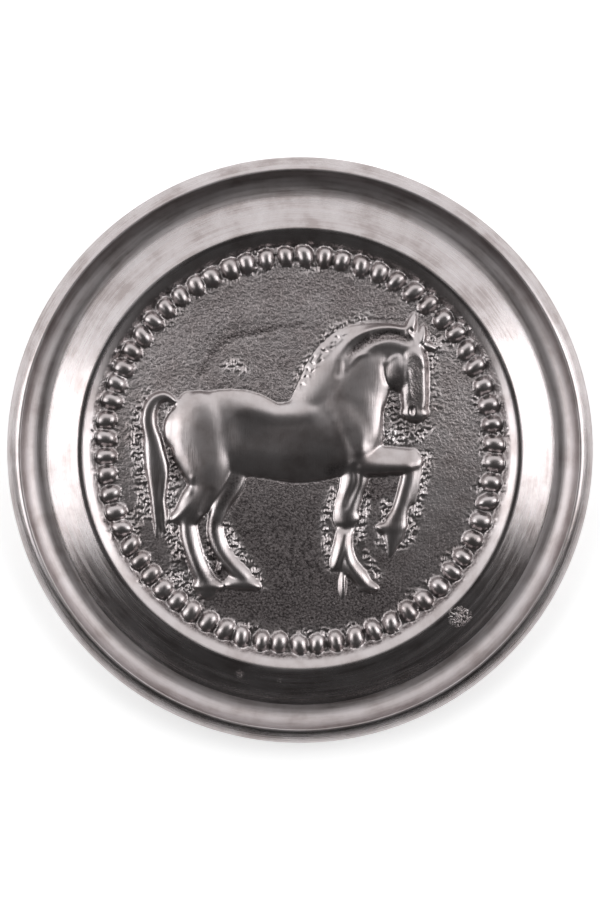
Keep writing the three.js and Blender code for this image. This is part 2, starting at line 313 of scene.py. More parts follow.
# Forms that the casting has beside the solid's limbs, in the same units
DRESSING = {
    "hock": [(21, 36, 5, 0.6), (17.6, 29.6, 5.2, 0.54), (14.8, 24.4, 4.4, 0.48)],
    "buttock": [
        (16.6, 66, 5, 0.4), (15.4, 60, 5.2, 0.66), (15.2, 53.6, 5.4, 0.74),
        (15.6, 46.6, 5.4, 0.66), (17.6, 40, 4.6, 0.5),
    ],
    "near_sole": [
        (17.8, 2, 1.6, 0.3), (20.6, 2.6, 2.2, 0.4), (24.4, 2.6, 2.4, 0.42), (27.6, 1.8, 1.6, 0.32),
    ],
    "far_sole": [
        (28.4, 2.6, 1.8, 0.26), (32, 3.6, 2.8, 0.36), (36.4, 3.2, 2.8, 0.4), (40, 1.8, 1.6, 0.3),
    ],
    "fore_sole": [(73.6, 1.4, 1.4, 0.2), (76.4, 2, 2, 0.32), (80, 1, 1.4, 0.3)],
    "tail_width": [
        (6.4, 65.4, 1.6, 0.4), (3, 60, 2.5, 0.5), (3.4, 52, 3, 0.5), (5.3, 42, 4.4, 0.48),
        (6, 33, 3.6, 0.4),
    ],
    "knee": [(67, 28.6, 2.6, 0.36), (69.8, 25.6, 3.4, 0.46), (72.8, 25, 2.6, 0.4)],
    "chest": [
        (70, 77, 8, 0.3), (72.2, 69, 9.8, 0.62), (72.6, 61, 9.4, 0.8),
        (72.6, 54, 8.4, 0.86), (71.8, 47, 6.4, 0.8), (71, 40, 4.6, 0.5),
    ],
    "jaw": [(85.2, 78.8, 4.6, 0.56), (85.6, 74.6, 5, 0.72), (86.4, 71.4, 4, 0.7)],
    "feather": [(68.2, 21, 2, 0.4), (66.6, 14.4, 2.4, 0.46), (64.6, 7.4, 2, 0.38)],
    "far_tuft": [(26.4, 9.4, 0.8, 0.34), (26.2, 6.6, 1.1, 0.4)],
    "near_tuft": [(19.6, 6, 0.8, 0.34), (19.4, 2.4, 1.2, 0.42)],
    "face_ledge": [
        (95.4, 80, 2, 0.22), (96.4, 74, 1.9, 0.1), (96.6, 66, 1.7, 0.07), (96.4, 61, 1.4, 0.05),
    ],
    "muzzle": [(88.8, 60.8, 2.4, 0.44), (92.6, 60.2, 3, 0.58), (96.2, 60.8, 2.4, 0.44)],
    "fetlock": [(69.4, 24, 3, 0.34), (68.2, 15, 3.4, 0.32), (68.4, 8, 3.4, 0.26)],
    "nape": [
        (50, 60, 4, 0.5), (57, 65.6, 6.4, 0.64), (62, 70.6, 7.6, 0.68), (65.8, 75.6, 7.8, 0.68),
        (69.6, 80, 6.8, 0.66), (75, 84, 5, 0.62), (84, 86, 3.6, 0.6),
    ],
    "forearm_ledge": [(92, 48.4, 2, 0.34), (94, 43, 1.6, 0.32), (93.4, 36, 1.3, 0.26), (92, 29, 1, 0.2)],
}

# Strokes of carving along a line: across, up, half width, and millimetres raised, or cut if negative
CARVING = {
    "haunch_dome": [(22, 62, 8, 0.08), (24.6, 54, 10, 0.14), (25, 45, 8, 0.2)],
    "barrel": [(37.4, 53, 9.6, -0.36), (44, 51.6, 11, -0.3), (54, 51.6, 11, -0.14), (68, 52, 10, 0)],
    "back": [(34, 62.4, 4.4, 0.06), (44, 60, 4.4, 0.12), (56, 60.6, 4.4, 0.1)],
    "belly": [(36, 43.6, 5, -0.08), (48, 42, 5, -0.14), (62, 42.6, 5, -0.08)],
    "shoulder_point": [(70.6, 54, 5, 0.06), (73.4, 47.4, 4.6, 0.26)],
    "neck_base": [(75.6, 64, 5, 0.1), (76.4, 54, 4.6, 0.1)],
    "mane_band": [
        (70, 80.4, 1.6, -0.14), (73.6, 82.8, 2.6, -0.28), (77.5, 85, 2.4, -0.38),
        (81, 86.4, 2.2, -0.46), (85, 86.8, 2.2, -0.46), (88.6, 86, 2.2, -0.4), (90.4, 84.8, 1.8, -0.26),
    ],
    "crest": [
        (66, 80, 2, 0.06), (69, 83.4, 1.8, 0.16), (73.4, 86.8, 1.6, 0.22), (78, 88.8, 1.4, 0.24),
        (83, 89.8, 1.3, 0.22), (89, 89.3, 1.3, 0.2),
    ],
    "throat": [(79, 79.6, 2.4, -0.04), (83.4, 81.8, 2, -0.08), (87, 81.2, 1.8, -0.05)],
    "withers_hollow": [(67.2, 77, 1.8, -0.12), (66.6, 73.6, 2, -0.14)],
    "lock_ridge": [(68.9, 79, 1, 0.05), (69.1, 75.4, 1, 0.08)],
    "lock_ridge_low": [(70.6, 76.6, 0.9, 0.06), (73.4, 79.6, 0.9, 0.12), (76.6, 80.4, 0.9, 0.08)],
    "mane_scallop": [(77.4, 87, 0.6, 0.1), (77.3, 84.6, 0.6, 0.12), (79.4, 83.4, 0.6, 0.1)],
    "cheek_dip": [(85, 73, 4, -0.1), (86, 70.6, 3, -0.14)],
    "cheek_ridge": [(89.4, 76.6, 1.5, 0.1), (89.8, 73.4, 1.6, 0.22), (89.6, 71, 1.2, 0.06)],
    "cheek_line": [(82.8, 77.2, 0.8, 0.12), (84.6, 79, 0.8, 0.14), (87, 80, 0.8, 0.08)],
    "cheek_edge": [(81.8, 76.4, 0.9, -0.14), (82.2, 73.4, 0.9, -0.22), (83, 70.8, 0.9, -0.2)],
    "face_hollow": [
        (93, 77.6, 2.4, -0.08), (92.8, 72, 3.2, -0.16), (92.6, 66, 3.2, -0.16),
        (92.4, 63.4, 2.4, -0.08),
    ],
    "face_plane": [(95.6, 74, 1.4, 0.06), (95.6, 64, 1.4, 0.04)],
    "brow": [(90.4, 81, 2.6, 0.06), (94, 79.6, 2.2, 0.18), (95.6, 76.6, 1.6, 0.16)],
    "nose_fold": [(90.7, 70.6, 0.7, 0.1), (90.5, 67.6, 0.7, 0.16), (91.3, 66, 0.7, 0.12)],
    "near_nostril_rim": [
        (91.5, 63, 0.8, 0.1), (92.8, 61.6, 0.8, 0.12), (92.6, 59.8, 0.8, 0.1), (91.5, 59, 0.8, 0.08),
        (90.4, 59.9, 0.8, 0.12), (90.3, 61.7, 0.8, 0.12), (91.5, 63, 0.8, 0.1),
    ],
    "near_nostril": [(91.5, 62, 0.9, -0.34), (91.5, 60.4, 0.9, -0.34)],
    "far_nostril_rim": [(95.3, 62.4, 0.8, 0.12), (96.4, 60, 0.8, 0.12)],
    "far_nostril": [(96, 61.8, 0.8, -0.24), (96.2, 61, 0.8, -0.24)],
    "ear_hole": [(91.2, 88.3, 0.8, -0.5), (91.5, 87.7, 0.8, -0.4)],
    "ear_gap": [(93.7, 87.4, 1.4, -0.12), (93.8, 85, 1.4, -0.12)],
    "far_ear_edge": [(95.8, 89.6, 1, 0.06), (95.9, 85.4, 1, 0.1)],
    "forelock_cut": [(94.8, 83.4, 0.7, -0.3), (96.2, 81.4, 0.7, -0.3), (98.2, 80, 0.7, -0.14)],
    "forearm_low": [(77, 43.8, 3.4, 0.1), (84, 42.8, 2.8, 0.14), (90, 42.8, 2.4, 0.1)],
    "foreleg_valley": [
        (72.4, 42.4, 1.6, -0.2), (72.6, 37, 1.8, -0.22), (70.4, 31.8, 1.8, -0.2),
        (69.4, 28.8, 1.5, -0.12),
    ],
    "knee_cut": [(66.4, 21.8, 1.6, -0.14), (69.4, 21.6, 2, -0.24), (72.6, 22, 1.6, -0.14)],
    "hock_line": [(17.2, 38.6, 1.2, 0.1), (16.4, 33.6, 1.2, 0.12)],
    "gaskin_valley": [(23.6, 34, 2, -0.1), (21, 27, 2, -0.12)],
    "tail_groove": [(7.4, 40, 0.9, -0.04), (6.6, 33, 0.9, -0.08), (6.2, 26, 0.9, -0.06)],
}

# Marks in the ground behind the horse, in the same units
GROUND_MARKS = {
    "sweep": [(15, 77, 6, 0.06), (23, 89, 6, 0.1), (35, 93, 6, 0.1), (54, 96, 5, 0.04)],
    "sweep_edge": [
        (21, 72.6, 2, -0.02), (28.8, 83.4, 2, -0.04), (38.4, 86.8, 2, -0.04), (54.6, 90, 1.6, -0.02),
    ],
    "clumps": [(29, 75.6, 1.6, 0.04), (31.6, 76.6, 1.6, 0.06), (34, 75.6, 1.6, 0.03)],
    "forearm_shadow": [(80, 50, 0.8, -0.1), (90.6, 49, 0.8, -0.12)],
    "crest_shadow": [(70, 91, 0.8, -0.08), (78, 92, 0.8, -0.12), (90, 91.6, 0.8, -0.1)],
    "forelock_lump": [(98, 82.6, 1.6, 0.26), (101, 82.4, 1.8, 0.24), (103.4, 81.6, 1, 0.12)],
}

# Where the burnishing is worn to a satin, and where the ground is rough: the last number is how much
SATIN = {
    "haunch": [(15, 64, 6, 0.6), (21, 56, 10, 1.1), (24, 44, 9, 1.1), (20, 32, 6, 0.7)],
    "neck": [(64, 58, 8, 0.5), (72, 66, 9, 0.9), (78, 76, 7, 0.8), (88, 82, 5, 0.6)],
    "face": [(92.6, 78, 4, 0.8), (92.4, 70, 4.6, 1), (92, 64.6, 4, 0.8)],
    "cheek": [(85.6, 76, 5, 0.5), (87, 72, 4, 0.4)],
    "mane": [(74, 83, 4, 0.8), (80, 86, 4, 0.9), (88, 86, 4, 0.8)],
    "nape": [(54, 63, 5, 1.2), (60, 68, 6, 1.4), (66, 75, 6, 1.4), (70, 80, 4, 1)],
    "chest": [(74, 58, 7, 0.5), (70, 48, 5, 0.4)],
    "forearm": [(78, 46, 5, 0.8), (90, 46, 5, 0.8)],
}
ROUGH = {
    "behind_tail": [(2, 68, 4, 0.6), (-1, 56, 6, 1), (0, 40, 6, 0.9), (2, 26, 5, 0.8)],
    "under_tail": [(9.6, 62, 4, 0.8), (9.6, 50, 4, 1), (11, 36, 5, 0.7), (9, 22, 6, 0.9)],
    "hind_legs": [(12, 16, 7, 0.8), (16, 4, 6, 0.8), (24, 14, 5, 0.8), (23, 26, 4, 1)],
    "far_leg": [(28, 26, 3, 0.7), (31, 17, 3.6, 1), (37, 9, 3.6, 0.9), (42, 2, 3, 0.6)],
    "foreleg": [(64.6, 34, 4, 0.7), (62.6, 22, 4, 0.9), (64, 8, 4, 0.6)],
    "foreleg_front": [(75, 38, 3.4, 0.6), (75.6, 28, 4, 1), (74, 16, 4, 0.9), (80, 6, 4, 0.8)],
    "raised_leg": [
        (96, 46, 4, 0.9), (94, 34, 4, 0.7), (90, 18, 4, 0.6), (81, 16, 4, 0.6), (83, 30, 4, 0.9),
    ],
    "over_forearm": [(80, 54, 4, 1), (86, 52, 4, 1), (94, 52, 4, 0.9)],
    "throat": [(84, 66, 4, 0.8), (85, 60, 4, 0.9), (90, 54, 5, 0.9), (97, 56, 4, 0.6)],
    "before_face": [(99, 84, 5, 1), (99, 74, 3.4, 0.7), (100, 62, 3.4, 0.5)],
    "over_mane": [(50, 70, 3, 0.5), (56, 78, 4, 0.7), (64, 88, 4, 0.7), (76, 93, 4, 0.6)],
    "front_ground": [(104, 60, 9, 0.3), (100, 34, 12, 0.3), (88, 6, 8, 0.2)],
    "upper_ground": [(16, 76, 9, 0.2), (34, 84, 12, 0.2), (58, 96, 9, 0.2)],
    "clumps": [(28, 75.6, 3, 0.6), (31.6, 76.6, 4, 0.7), (35, 74.6, 4, 0.5)],
}

# Painted shade: where the colour is darkened in the horse's hollows, under its parts and along the step
# of the ground's sweep
PAINTED_SHADE_STROKES = {
    "throat": [(84, 68.6, 3, 0.5), (85.4, 62, 3.4, 0.8), (88, 56, 3.4, 0.7), (94, 55, 3, 0.6)],
    "mane": [
        (70.4, 80, 1.8, 0.8), (73, 82.4, 2.2, 1.2), (76.8, 85, 2.5, 1.5),
        (82, 86.6, 2.5, 1.5), (86, 86.6, 2.5, 1.5), (89.4, 85.6, 2.5, 1.2),
    ],
    "sweep": [(19.7, 74.4, 1.8, 0.4), (27.4, 84.7, 1.8, 0.5), (37.6, 87.9, 1.8, 0.5), (54, 91, 1.4, 0.3)],
    "face": [(92.6, 76, 2.6, 0.5), (92.4, 66, 3, 0.6), (92, 62, 2, 0.4)],
    "cheek": [(86, 73, 4, 0.6), (87, 70, 3, 0.7)],
    "under_tail": [(10.4, 45, 2.6, 1), (12, 39, 2.6, 1)],
    "far_thigh": [(32, 38, 3.6, 0.7), (27, 29, 3, 0.5)],
    "hind_feet": [(24, 24, 3, 0.8), (23.4, 14, 2.4, 0.8), (27, 4, 2.6, 0.7), (12, 12, 4, 0.5)],
    "under_forearm": [(80, 36.6, 3, 0.7), (77, 33, 3, 0.7), (86, 34, 2, 0.4)],
    "before_chest": [(64, 41, 3.4, 0.6), (69, 43, 2.4, 0.5)],
}

# The rough slope outside the crest of the mane: how deep its pits are
MANE_SLOPE = {
    "slope": [
        (52, 67.4, 1.4, 0.2), (55.4, 72, 2.4, 0.4), (59.2, 78, 2.6, 0.44), (64.6, 84.4, 2.6, 0.4),
        (70.6, 88.6, 1.6, 0.24),
    ],
}

figure_points = np.array([station[:2] for limb in HORSE.values() for station in limb])
figure_reach = np.hypot(*(figure_points - FIGURE_CENTRE).T).max()
UNIT = (field_radius - FIGURE_CLEARANCE) / figure_reach
FAR = 9.0  # how far below the field a surface is put where it has nothing


# Heights

def smooth_max(a, b, blend):
    """The higher of two surfaces, with a round of about the blend's size in the corner between."""
    share = np.clip(0.5 + 0.5 * (a - b) / blend, 0, 1)
    return b + (a - b) * share + blend * share * (1 - share)


def smooth_step(low, high, value):
    share = np.clip((value - low) / (high - low), 0, 1)
    return share * share * (3 - 2 * share)


def noise(x, y, size, seed):
    """A smooth random field from about -1 to 1, with bumps of the given size."""
    angles = np.random.default_rng(seed).uniform(0, 2 * np.pi, (256, 256))
    u, v = x / size, y / size
    column, row = np.floor(u).astype(int), np.floor(v).astype(int)
    u, v = u - column, v - row
    total = 0
    for i in (0, 1):
        for j in (0, 1):
            angle = angles[(column + i) % 256, (row + j) % 256]
            push = np.cos(angle) * (u - i) + np.sin(angle) * (v - j)
            weight_u = 1 - np.abs(u - i)
            weight_v = 1 - np.abs(v - j)
            total = total + push * smooth_step(0, 1, weight_u) * smooth_step(0, 1, weight_v)
    return 1.5 * total


def layered(x, y, layers):
    return sum(height * noise(x, y, size, seed) for height, size, seed in layers)


def spine(stations, steps=8):
    """Rows along a limb's middle line, by a Catmull-Rom curve through its stations."""
    rows = np.array(stations, float)
    padded = np.vstack([2 * rows[0] - rows[1], rows, 2 * rows[-1] - rows[-2]])
    made = []
    for a, b, c, d in zip(padded, padded[1:], padded[2:], padded[3:]):
        for t in np.arange(steps) / steps:
            bend = (2 * a - 5 * b + 4 * c - d) * t**2
            twist = (3 * b - a - 3 * c + d) * t**3
            made.append(0.5 * (2 * b + (c - a) * t + bend + twist))
    made.append(rows[-1])
    return np.array(made)


def along_line(x, y, points):
    """For each segment of a line, the distance to it and the share of the way along it."""
    for a, b in zip(points, points[1:]):
        dx, dy = b - a
        share = np.clip(((x - a[0]) * dx + (y - a[1]) * dy) / (dx * dx + dy * dy), 0, 1)
        yield np.hypot(x - a[0] - share * dx, y - a[1] - share * dy), share


def limb_height(x, y, stations, fullness, lean):
    """Height of a limb over the field, leaning to one side. Outside the limb it falls below nought."""
    rows = spine(stations)
    along = np.linspace(-1, 1, len(rows))
    end = (1 - np.abs(along) ** END_ROUNDNESS) ** (1 / END_ROUNDNESS)
    middle = (rows[:, :2] - FIGURE_CENTRE) * UNIT
    half = rows[:, 2] * UNIT * end
    rise = rows[:, 3] * RELIEF_HEIGHT * end
    reach = half.max() + 2
    low, high = middle.min(0) - reach, middle.max(0) + reach
    near = (x > low[0]) & (x < high[0]) & (y > low[1]) & (y < high[1])
    height = np.full(x.shape, -FAR)
    value = height[near]
    for i, (distance, share) in enumerate(along_line(x[near], y[near], middle)):
        width = np.maximum(half[i] + share * (half[i + 1] - half[i]), 1e-6)
        top = rise[i] + share * (rise[i + 1] - rise[i])
        out = distance / width
        line_x, line_y = (middle[i] + share[:, None] * (middle[i + 1] - middle[i])).T
        tilt = (lean[0] * (x[near] - line_x) + lean[1] * (y[near] - line_y)) / width
        inside = top * (1 + np.clip(tilt, -1, 1)) * np.maximum(1 - out * out, 0) ** fullness
        value = np.maximum(value, np.where(out < 1, inside, -EDGE_FALL * (distance - width)))
    height[near] = value
    return height


def strokes(x, y, marks):
    """What the strokes add to a surface, in millimetres, or to a map with values from 0 to 1."""
    total = np.zeros(x.shape)
    for stations in marks.values():
        rows = spine(stations)
        middle = (rows[:, :2] - FIGURE_CENTRE) * UNIT
        half = rows[:, 2] * UNIT
        low, high = middle.min(0) - half.max(), middle.max(0) + half.max()
        near = (x > low[0]) & (x < high[0]) & (y > low[1]) & (y < high[1])
        strength = np.zeros(near.sum())
        amount = np.zeros(near.sum())
        for i, (distance, share) in enumerate(along_line(x[near], y[near], middle)):
            out = distance / (half[i] + share * (half[i + 1] - half[i]))
            inside = np.maximum(1 - out * out, 0) ** 2
            level = rows[i, 3] + share * (rows[i + 1, 3] - rows[i, 3])
            amount = np.where(inside > strength, level, amount)
            strength = np.maximum(strength, inside)
        total[near] += amount * strength
    return total


def soften(grid, times):
    """Rounds a surface held on a square grid, as worn metal is round."""
    for _ in range(times):
        for axis in (0, 1):
            grid = (np.roll(grid, 1, axis) + 2 * grid + np.roll(grid, -1, axis)) / 4
    return grid


def horse_height(x, y):
    """The horse over the field: its limbs, carved, worn, and kept under the rim's crest."""
    height = np.full(x.shape, -FAR)
    for name, stations in (HORSE | DRESSING).items():
        fullness = SIDE_FULLNESS.get(name, LIMB_FULLNESS)
        limb = limb_height(x, y, stations, fullness, LEAN.get(name, (0, 0)))
        height = smooth_max(height, limb, LIMB_BLEND)
    carved = strokes(x, y, CARVING) * smooth_step(-0.1, 0.35, height)
    height = soften(height + carved, WEAR)
    top = RIM_HEIGHT - RIM_CLEARANCE - field_height
    return -smooth_max(-height, np.full(x.shape, -top), CAP_BLEND)


def bead_height(x, y):
    """The ring of beads over the field. Outside them it falls below nought."""
    rng = np.random.default_rng(BEAD_SEED)
    height = np.full(x.shape, -FAR)
    radius, angle = np.hypot(x, y), np.arctan2(y, x)
    ring = np.abs(radius - bead_radius) < BEAD_LENGTH
    ring_radius, ring_angle = radius[ring], angle[ring]
    value = height[ring]
    for i in range(BEAD_COUNT):
        even = 2 * math.pi * i / BEAD_COUNT
        place = even + BEAD_START + BEAD_DRIFT * math.sin(even) + rng.normal(0, BEAD_JITTER)
        length = BEAD_LENGTH / 2 * rng.uniform(*BEAD_LENGTHS)
        width = BEAD_WIDTH / 2 * rng.uniform(*BEAD_WIDTHS)
        top = BEAD_HEIGHT * rng.uniform(*BEAD_HEIGHTS)
        turn = rng.normal(0, BEAD_TURN)
        outward = rng.normal(0, BEAD_STRAY)
        gap = (ring_angle - place + math.pi) % (2 * math.pi) - math.pi
        near = np.abs(gap) < BEAD_REACH
        along = ring_radius[near] - bead_radius - outward
        across = gap[near] * bead_radius + turn * along
        out = np.abs(along / length) ** BEAD_END_POWER + np.abs(across / width) ** BEAD_SIDE_POWER
        inside = top * np.maximum(1 - out, 0) ** BEAD_FULLNESS
        value[near] = np.maximum(value[near], np.where(out < 1, inside, -BEAD_FALL * (out - 1)))
    height[ring] = value
    return height


def lip_profile(radius):
    """Height of the lip's inner side and of the field below it."""
    inward = np.clip(lip_radius - radius, 0, LIP_WIDTH)
    fall = LIP_LEAN * (np.hypot(inward, LIP_CROWN) - LIP_CROWN)
    foot = FOOT_STEEPNESS * np.maximum(lip_foot_radius - radius, 0)
    return smooth_max(lip_height - fall - foot, np.full(radius.shape, field_height), LIP_BLEND)


def crumb_share(x, y, beads):
    """How near a place is to the beads and how crumbly its ground is, each from 0 to 1."""
    patches = smooth_step(-0.4, 0.4, layered(x, y, FRINGE_PATCHES))
    fringe = smooth_step(field_radius - FRINGE_WIDTH, field_radius, np.hypot(x, y)) * patches
    near_beads = np.maximum(smooth_step(-1.4, 0, beads), fringe)
    return near_beads, np.clip(FRINGE_CRUMBS * near_beads + strokes(x, y, ROUGH), 0, 1)


def ground_relief(x, y, crumbly):
    """What the rough ground adds to a flat field: its dome, swells, marks, grain and crumbs."""
    dome = FIELD_DOME * (1 - (np.hypot(x, y) / field_radius) ** 2)
    above = smooth_step(-6, 8, y)
    beside = smooth_step(11, 18, np.abs(x))
    grain_height = GRAIN_HEIGHT + GRAIN_MORE_ABOVE * above + GRAIN_MORE_BESIDE * beside
    grain = grain_height * layered(x, y, GRAIN)
    relief = layered(x, y, SWELL) + dome + strokes(x, y, GROUND_MARKS) + grain
    patches = smooth_step(-0.6, 0.3, layered(x, y, CRUMB_PATCHES) + 0.25)
    return relief + CRUMB_HEIGHT * smooth_step(0.15, 1, crumbly) * layered(x, y, CRUMBS) * patches


def patina_and_painted_light(x, y):
    """How dark bare ground is: its patina, with painted light that makes it lighter above the horse and
    at the sides, so it is darkest below the horse.
    """
    above = smooth_step(-14, 9, y)
    beside = smooth_step(9, 19, np.abs(x)) * smooth_step(-24, -6, y)
    return PATINA - PAINTED_LIGHT_ABOVE * above - PAINTED_LIGHT_BESIDE * beside


def face_height(x, y, horse):
    """The cast face inside the lip's top, with how dark each place is from its patina and from painted
    light and shade, and how satin and how sanded it is.
    """
    radius = np.hypot(x, y)
    beads = bead_height(x, y)
    near_beads, crumbly = crumb_share(x, y, beads)
    field = smooth_step(lip_foot_radius + FIELD_EDGE, lip_foot_radius, radius)
    clear = (1 - smooth_step(-0.1, 0.25, horse)) * (1 - smooth_step(-0.1, 0.2, beads))
    bare = clear * field
    mane = np.clip(MANE_BAND_SHARE * strokes(x, y, {"band": CARVING["mane_band"]}), 0, 1)

    ground = lip_profile(radius) - field_height + bare * ground_relief(x, y, crumbly)
    skin = horse + MANE_GRAIN_HEIGHT * mane * layered(x, y, MANE_GRAIN)
    pitted = smooth_step(0.05, 0.4, layered(x, y, MANE_PITS)) + layered(x, y, FINE_PITS)
    skin = skin - PIT_DEPTH * strokes(x, y, MANE_SLOPE) * pitted + layered(x, y, SKIN_WAVES)
    height = smooth_max(ground, skin, GROUND_BLEND)
    height = smooth_max(height, beads + layered(x, y, BEAD_WAVES), BEAD_BLEND)

    # Painted shade: colour darkened in the horse's hollows, under its parts and along the ground's sweep
    painted_shade = strokes(x, y, PAINTED_SHADE_STROKES) * smooth_step(lip_foot_radius, field_radius, radius)
    # The ground's patina with its painted light, lighter on crumbs, plus painted shade around and between
    # the beads
    dull = np.maximum(patina_and_painted_light(x, y) - PATINA_LOST_ON_CRUMBS * crumbly, 0) + PAINTED_SHADE_BY_BEADS * near_beads
    dark = bare * dull + painted_shade

    sanded = bare * (SANDING + SANDING_MORE_ABOVE * smooth_step(-10, 6, y))
    sanded = sanded * (1 - SANDING_LOST_ON_CRUMBS * crumbly)
    face = strokes(x, y, {"face": SATIN["face"]})
    sanded = sanded + (1 - bare) * (SANDING_ON_FACE * face + SANDING_ON_MANE * mane)

    satin = HORSE_SATIN * np.clip(strokes(x, y, SATIN), 0, 1) * smooth_step(0, 0.3, skin)
    satin = np.maximum(satin, BEAD_SATIN * smooth_step(-0.1, 0.3, beads))
    satin = np.maximum(satin, bare * (1 - CRUMB_POLISH * smooth_step(0.2, 0.9, crumbly)))
    maps = {"dark": np.clip(dark, 0, 1), "satin": satin, "sanded": np.clip(sanded, 0, 1)}
    return field_height + height, maps


# The mesh of the whole casting

def arc(radius, height, across, up, start, stop, steps):
    angles = np.linspace(start, stop, steps + 1)
    return [(radius + across * math.cos(a), height + up * math.sin(a)) for a in angles]


def bevel_drop(share):
    """The bevel is a little round: it starts flatter than it ends."""
    return BEVEL_WIDTH * (math.tan(BEVEL_START) * share + BEVEL_CURVE * share * share)


def rim_profile():
    """Radius and height from the top of the lip, over the rim and down to the back face."""
    up = math.pi / 2
    wall_across = WALL_WIDTH / math.sin(WALL_ANGLE)
    wall_up = COVE_DEPTH / (1 - math.cos(WALL_ANGLE))
    lip_centre = (lip_radius, lip_height - LIP_ROUND)
    cove_centre = (cove_radius, cove_height + COVE_ROUND)
    wall_centre = (cove_radius, cove_height + wall_up)
    crest_centre = (edge_radius - CREST_INSET, RIM_HEIGHT - CREST_ROUND)
    back_centre = (DISC_RADIUS - BACK_ROUND, BACK_ROUND)
    points = arc(*lip_centre, LIP_ROUND, LIP_ROUND, up, up - SLOPE_ANGLE, 4)
    points += arc(*cove_centre, COVE_ROUND, COVE_ROUND, -up - SLOPE_ANGLE, -up, 6)
    points += arc(*wall_centre, wall_across, wall_up, -up, WALL_ANGLE - up, 14)[1:-1]
    points += arc(*crest_centre, CREST_ROUND, CREST_ROUND, *CREST_TURN, 4)
    for share in np.linspace(0.08, 0.94, 8):
        points.append((edge_radius + BEVEL_WIDTH * share, RIM_HEIGHT - bevel_drop(share)))
    points.append((DISC_RADIUS, RIM_HEIGHT - BEVEL_DROP - BEVEL_EDGE))
    points.append((DISC_RADIUS, RIM_HEIGHT / 2))
    points += arc(*back_centre, BACK_ROUND, BACK_ROUND, 0, -up, 5)
    return np.array(points)


def lattice(radius):
    """Square cells that fit in a circle: corners, faces, outline in order, and the horse's heights."""
    count = int(radius / CELL)
    steps = np.arange(-count, count + 1)
    side = steps * CELL
    grid_x, grid_y = np.meshgrid(side, side, indexing="ij")
    horse = horse_height(grid_x, grid_y)
    inside = {}
    for i in steps[:-1]:
        for j in steps[:-1]:
            corner = max(abs(i), abs(i + 1)) ** 2 + max(abs(j), abs(j + 1)) ** 2
            if corner * CELL * CELL <= radius * radius:
                inside[i, j] = True
    number, points, faces = {}, [], []

    def at(i, j):
        if (i, j) not in number:
            number[i, j] = len(points)
            points.append((i * CELL, j * CELL))
        return number[i, j]

    step_after = {}
    for i, j in inside:
        a, b, c, d = at(i, j), at(i + 1, j), at(i + 1, j + 1), at(i, j + 1)
        faces.append((a, b, c, d))
        edges = ((a, b), (b, c), (c, d), (d, a))
        beside = ((i, j - 1), (i + 1, j), (i, j + 1), (i - 1, j))
        for edge, cell in zip(edges, beside):
            if cell not in inside:
                step_after[edge[0]] = edge[1]
    start = max(step_after, key=lambda k: (points[k][0], -abs(points[k][1])))
    outline = [start]
    while step_after[outline[-1]] != start:
        outline.append(step_after[outline[-1]])
    corners = np.array(list(number)) + count
    return np.array(points), faces, outline, horse[corners[:, 0], corners[:, 1]]


def ring(radius, columns):
    angles = np.arange(columns) * 2 * math.pi / columns
    return np.column_stack([radius * np.cos(angles), radius * np.sin(angles)])


def zip_loops(inner, outer, points):
    """Triangles between two loops round the centre, both in the order of their angles."""
    def ordered(loop):
        angles = np.arctan2(points[loop, 1], points[loop, 0]) % (2 * math.pi)
        first = int(np.argmin(angles))
        loop = list(loop[first:]) + list(loop[:first])
        return loop, list(np.roll(angles, -first))

    inner, inner_angles = ordered(inner)
    outer, outer_angles = ordered(outer)
    inner_angles.append(inner_angles[0] + 2 * math.pi)
    outer_angles.append(outer_angles[0] + 2 * math.pi)
    faces, i, j = [], 0, 0
    while i < len(inner) or j < len(outer):
        if j == len(outer) or (i < len(inner) and inner_angles[i + 1] < outer_angles[j + 1]):
            faces.append((inner[i % len(inner)], outer[j % len(outer)], inner[(i + 1) % len(inner)]))
            i += 1
        else:
            faces.append((inner[i % len(inner)], outer[j % len(outer)], outer[(j + 1) % len(outer)]))
            j += 1
    return faces


def quads_between(inner, outer):
    """Quads between two rings with the same number of points."""
    return [
        (inner[i], outer[i], outer[(i + 1) % len(outer)], inner[(i + 1) % len(inner)])
        for i in range(len(inner))
    ]


def casting_mesh():
    """Points and faces of the whole casting, and the maps with a value for each point."""
    flat, faces, outline, horse = lattice(field_radius - LATTICE_GAP)
    plan = [flat]
    loops = []
    count = len(flat)
    bead_rows = np.linspace(field_radius, lip_foot_radius + 0.3, BEAD_ROWS)
    lip_rows = np.linspace(lip_foot_radius + 0.5, lip_radius, LIP_ROWS)
    for rows, columns in ((bead_rows, BEAD_COLUMNS), (lip_rows, RIM_COLUMNS)):
        for radius in rows:
            plan.append(ring(radius, columns))
            loops.append(list(range(count, count + columns)))
            count += columns
    plan = np.vstack(plan)
    horse = np.concatenate([horse, np.full(len(plan) - len(horse), -FAR)])
    height, maps = face_height(plan[:, 0], plan[:, 1], horse)
    solid = [np.column_stack([plan, height])]
    for radius, up in rim_profile()[1:]:
        loop = ring(radius, RIM_COLUMNS)
        solid.append(np.column_stack([loop, np.full(len(loop), up)]))
        loops.append(list(range(count, count + RIM_COLUMNS)))
        count += RIM_COLUMNS
    points = np.vstack(solid)
    faces += zip_loops(outline, loops[0], points)
    for inner, outer in zip(loops, loops[1:]):
        same = len(inner) == len(outer)
        faces += quads_between(inner, outer) if same else zip_loops(inner, outer, points)
    faces.append(tuple(loops[-1])[::-1])
    rim = np.zeros(count - len(plan))
    return points, faces, {name: np.concatenate([values, rim]) for name, values in maps.items()}


def make_casting():
    points, faces, maps = casting_mesh()
    mesh = bpy.data.meshes.new("casting")
    mesh.from_pydata((points * MM).tolist(), [], faces)
    mesh.validate()
    mesh.shade_smooth()
    for name, values in maps.items():
        mesh.attributes.new(name, "FLOAT", "POINT").data.foreach_set("value", values.astype(np.float32))
    casting = bpy.data.objects.new("casting", mesh)
    bpy.context.scene.collection.objects.link(casting)
    return casting


# Materials

